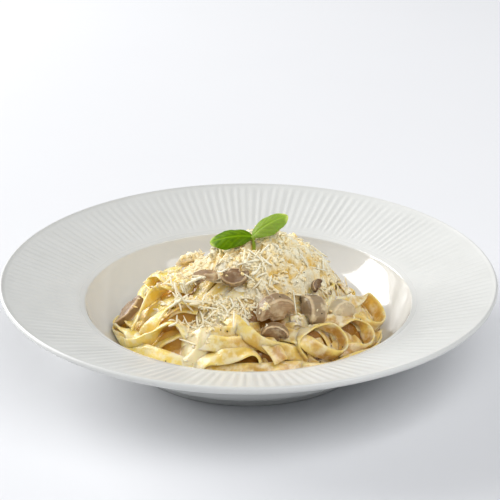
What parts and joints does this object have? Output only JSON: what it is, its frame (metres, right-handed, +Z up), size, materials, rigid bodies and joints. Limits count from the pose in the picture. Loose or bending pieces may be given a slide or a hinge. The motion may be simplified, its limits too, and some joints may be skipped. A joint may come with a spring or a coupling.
{
  "type": "plated pasta dish",
  "caption": "Wide-rimmed round pasta plate with a deep well, filled with a mound of creamy fettuccine, mushroom slices, grated cheese and a basil sprig.",
  "frame": {"origin": "centre of the plate's foot ring, on the table", "axes": "+Z up, out of the plate; -Y towards the diner; +X to the diner's right"},
  "size_m": [0.29, 0.29, 0.0848],
  "materials": {
    "porcelain": "white glazed porcelain, satin on the ribbed rim, glossy in the well",
    "pasta": "boiled egg pasta with cream sauce, moist",
    "mushroom": "cooked champignon, moist",
    "cheese": "finely grated hard cheese, soft and dull",
    "basil": "fresh leaf, waxy"
  },
  "bodies": {
    "root": {"plate": "porcelain", "pasta": "pasta", "mushroom_1": "mushroom", "mushroom_2": "mushroom", "mushroom_3": "mushroom", "mushroom_4": "mushroom", "mushroom_5": "mushroom", "mushroom_6": "mushroom", "mushroom_7": "mushroom", "mushroom_8": "mushroom", "mushroom_9": "mushroom", "mushroom_10": "mushroom", "grated_cheese": "cheese", "basil_sprig": "basil"}
  },
  "joints": []
}
